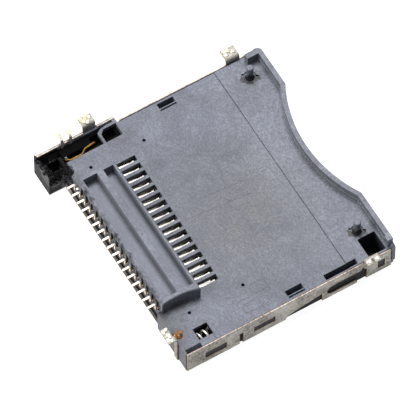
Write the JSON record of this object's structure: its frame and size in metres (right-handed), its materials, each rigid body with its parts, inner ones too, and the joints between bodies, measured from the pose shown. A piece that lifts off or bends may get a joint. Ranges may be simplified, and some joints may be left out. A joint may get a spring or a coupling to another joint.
{
  "type": "game card slot",
  "caption": "Push-push game card socket: moulded body with contact windows in a folded steel cover, with sprung ejector, finger-notched mouth, board posts and solder feet.",
  "frame": {"origin": "on the steel cover's flat outer face, on the card's centre line, half-way along the cover's side walls", "axes": "+X across the mouth towards the return spring's side, +Y along the card and out of the mouth, +Z from the cover's face towards the circuit board"},
  "size_m": [0.0446, 0.0388, 0.0077],
  "materials": {
    "moulding": "matte",
    "cover_steel": "satin",
    "contact_plating": "satin",
    "slider_plastic": "gloss",
    "gold_wire": "satin",
    "spring_steel": "bright"
  },
  "bodies": {
    "base": {"housing": "moulding", "cover": "cover_steel", "contact_01": "contact_plating", "contact_02": "contact_plating", "contact_03": "contact_plating", "contact_04": "contact_plating", "contact_05": "contact_plating", "contact_06": "contact_plating", "contact_07": "contact_plating", "contact_08": "contact_plating", "contact_09": "contact_plating", "contact_10": "contact_plating", "contact_11": "contact_plating", "contact_12": "contact_plating", "contact_13": "contact_plating", "contact_14": "contact_plating", "contact_15": "contact_plating", "contact_16": "contact_plating", "contact_17": "contact_plating", "return_spring": "spring_steel", "detect_blade": "contact_plating", "detect_terminal": "contact_plating"},
    "ejector": {"ejector_slider": "slider_plastic"},
    "cam": {"cam_wire": "gold_wire"}
  },
  "joints": [
    {"name": "eject_slide", "type": "slide", "parent": "base", "child": "ejector", "axis": [0, 1, 0], "range_m": [-0.0032, 0], "stiffness_N_per_m": 250, "springref_m": 0.004, "deforming": ["return_spring"]},
    {"name": "cam_swing", "type": "hinge", "parent": "base", "child": "cam", "pos_m": [-0.01775, -0.01645, 0.00455], "axis": [0, 0, 1], "range_deg": [0, 9]}
  ]
}
